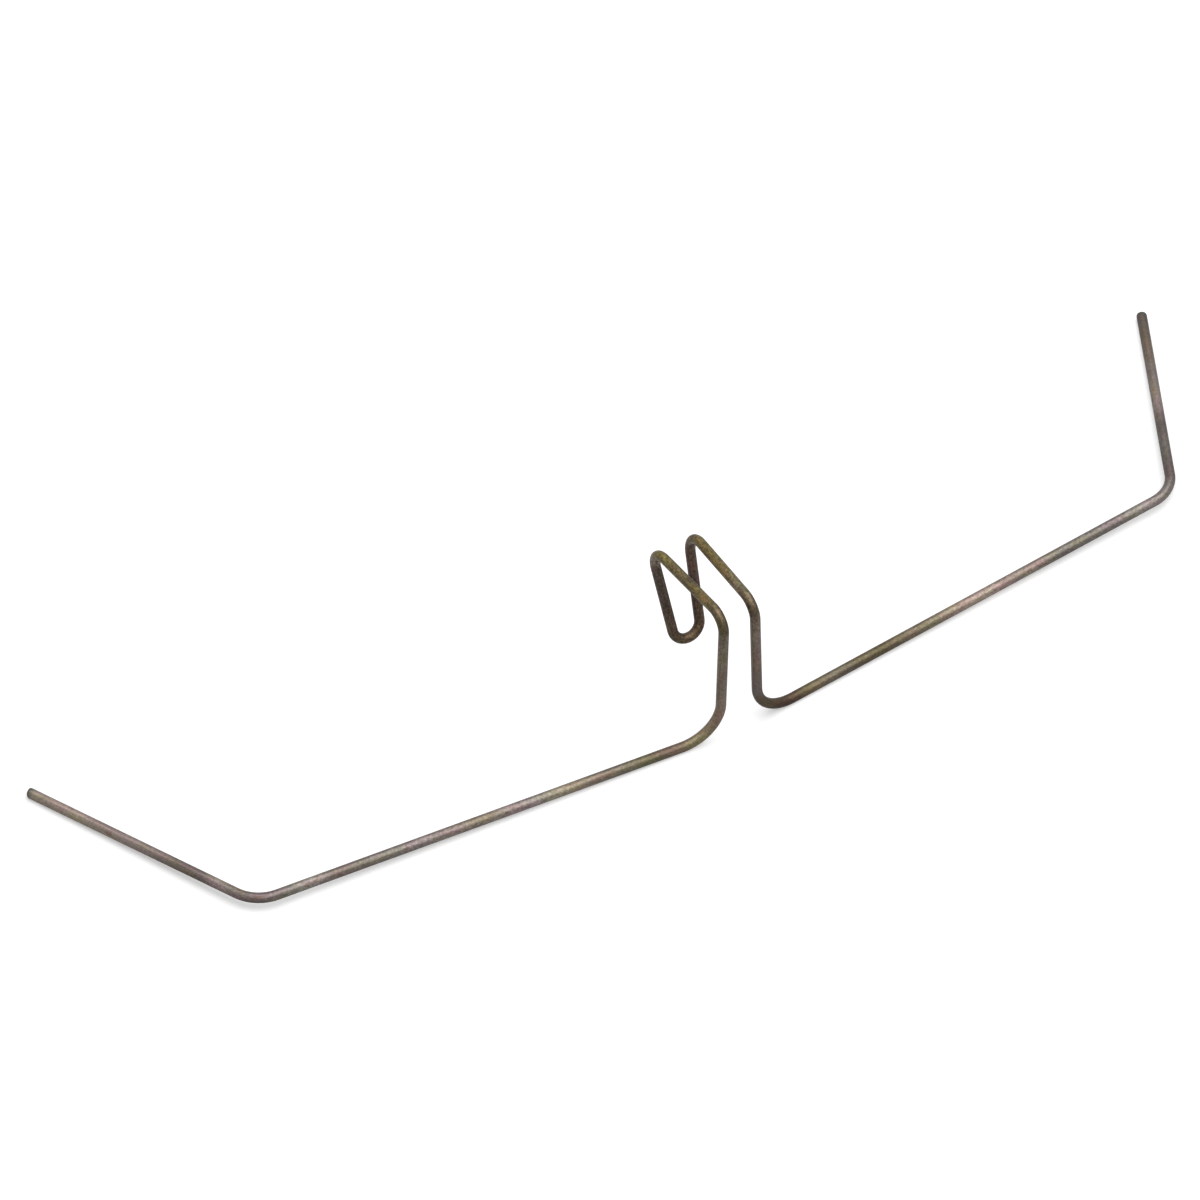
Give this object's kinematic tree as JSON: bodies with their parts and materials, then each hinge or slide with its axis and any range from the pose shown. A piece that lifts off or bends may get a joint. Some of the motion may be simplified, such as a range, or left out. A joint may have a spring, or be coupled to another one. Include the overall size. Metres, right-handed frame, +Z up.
{
  "type": "brake line clip",
  "caption": "Spring-wire clip: long low arms with turned-back tips, and an upright narrow hook at the middle that grips a brake line.",
  "frame": {"origin": "on the plane that the clip lies on, in the mid-plane between the two halves, midway between the front of the risers and the back of the longer tip", "axes": "+X along the arms towards the shorter tip, +Y from the risers back towards the tips, +Z up from the plane that the clip lies on"},
  "size_m": [0.242, 0.0548, 0.0325],
  "materials": {
    "plated_wire": "drawn spring wire with dulled, mottled yellow-grey plating"
  },
  "bodies": {
    "root": {"clip_wire": "plated_wire"}
  },
  "joints": []
}
